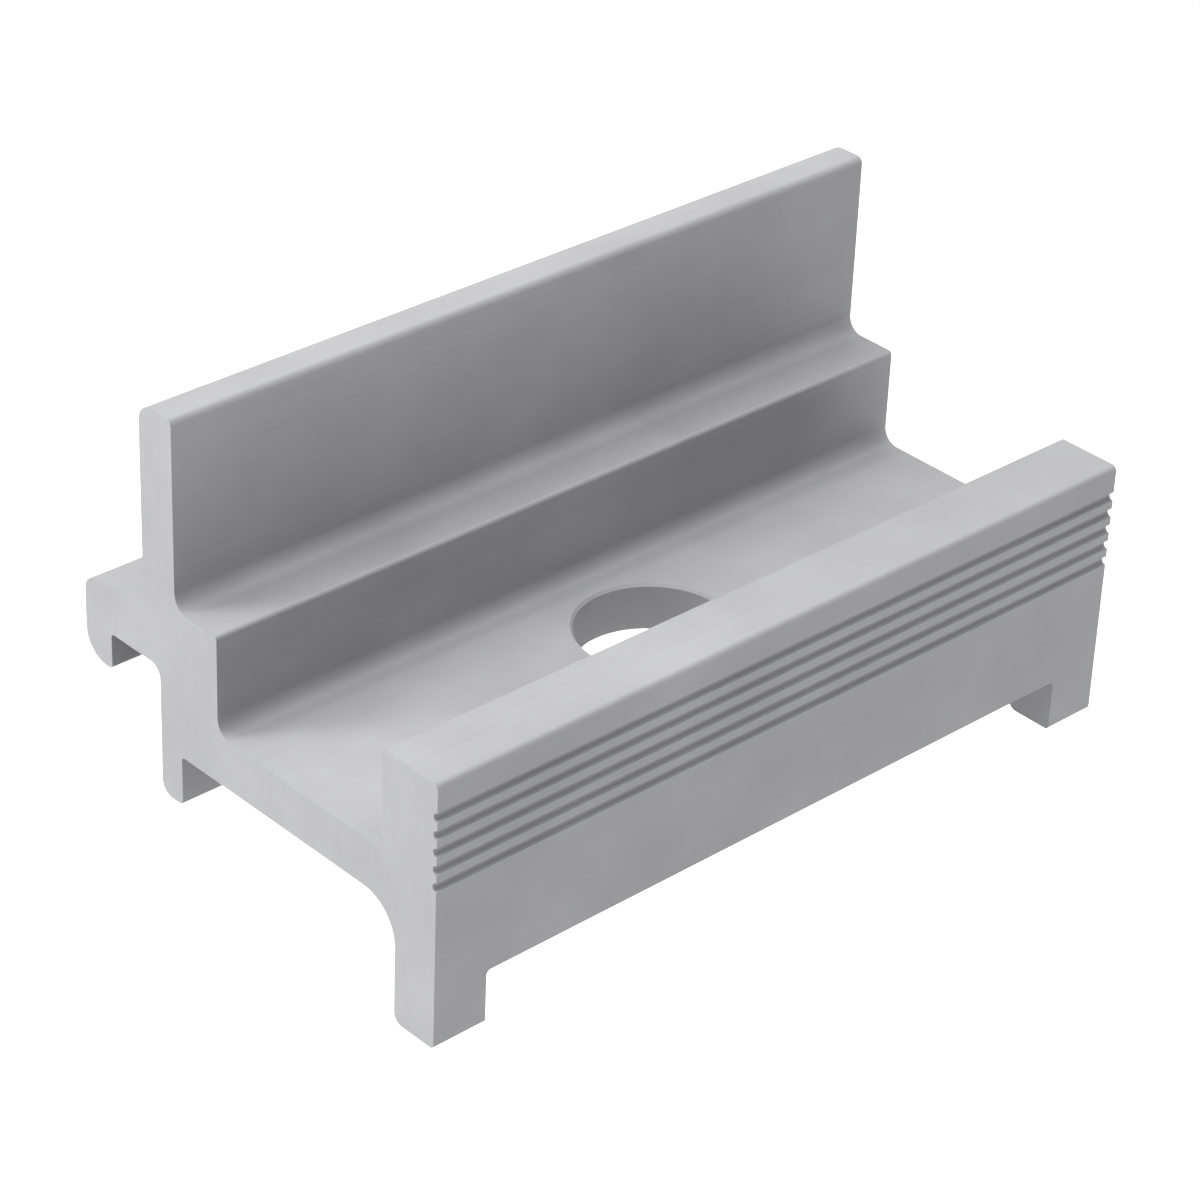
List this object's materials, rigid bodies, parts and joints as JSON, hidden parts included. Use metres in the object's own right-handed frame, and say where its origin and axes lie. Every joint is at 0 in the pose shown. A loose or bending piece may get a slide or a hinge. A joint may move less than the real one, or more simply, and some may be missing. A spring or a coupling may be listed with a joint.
{
  "type": "rail clamp",
  "caption": "Aluminium extrusion that clamps to a mounting rail: a channel for the bolt head, an upright stop fin, a side hook and a grooved front leg notched between its feet.",
  "frame": {"origin": "on the bolt hole's axis at the channel floor, midway along the extrusion", "axes": "+X along the extrusion, -Y out of the grooved front face, +Z along the bolt hole out of the channel, the way the fin stands"},
  "size_m": [0.05, 0.029, 0.0274],
  "materials": {
    "aluminium": "satin"
  },
  "bodies": {
    "root": {"clamp_profile": "aluminium"}
  },
  "joints": []
}
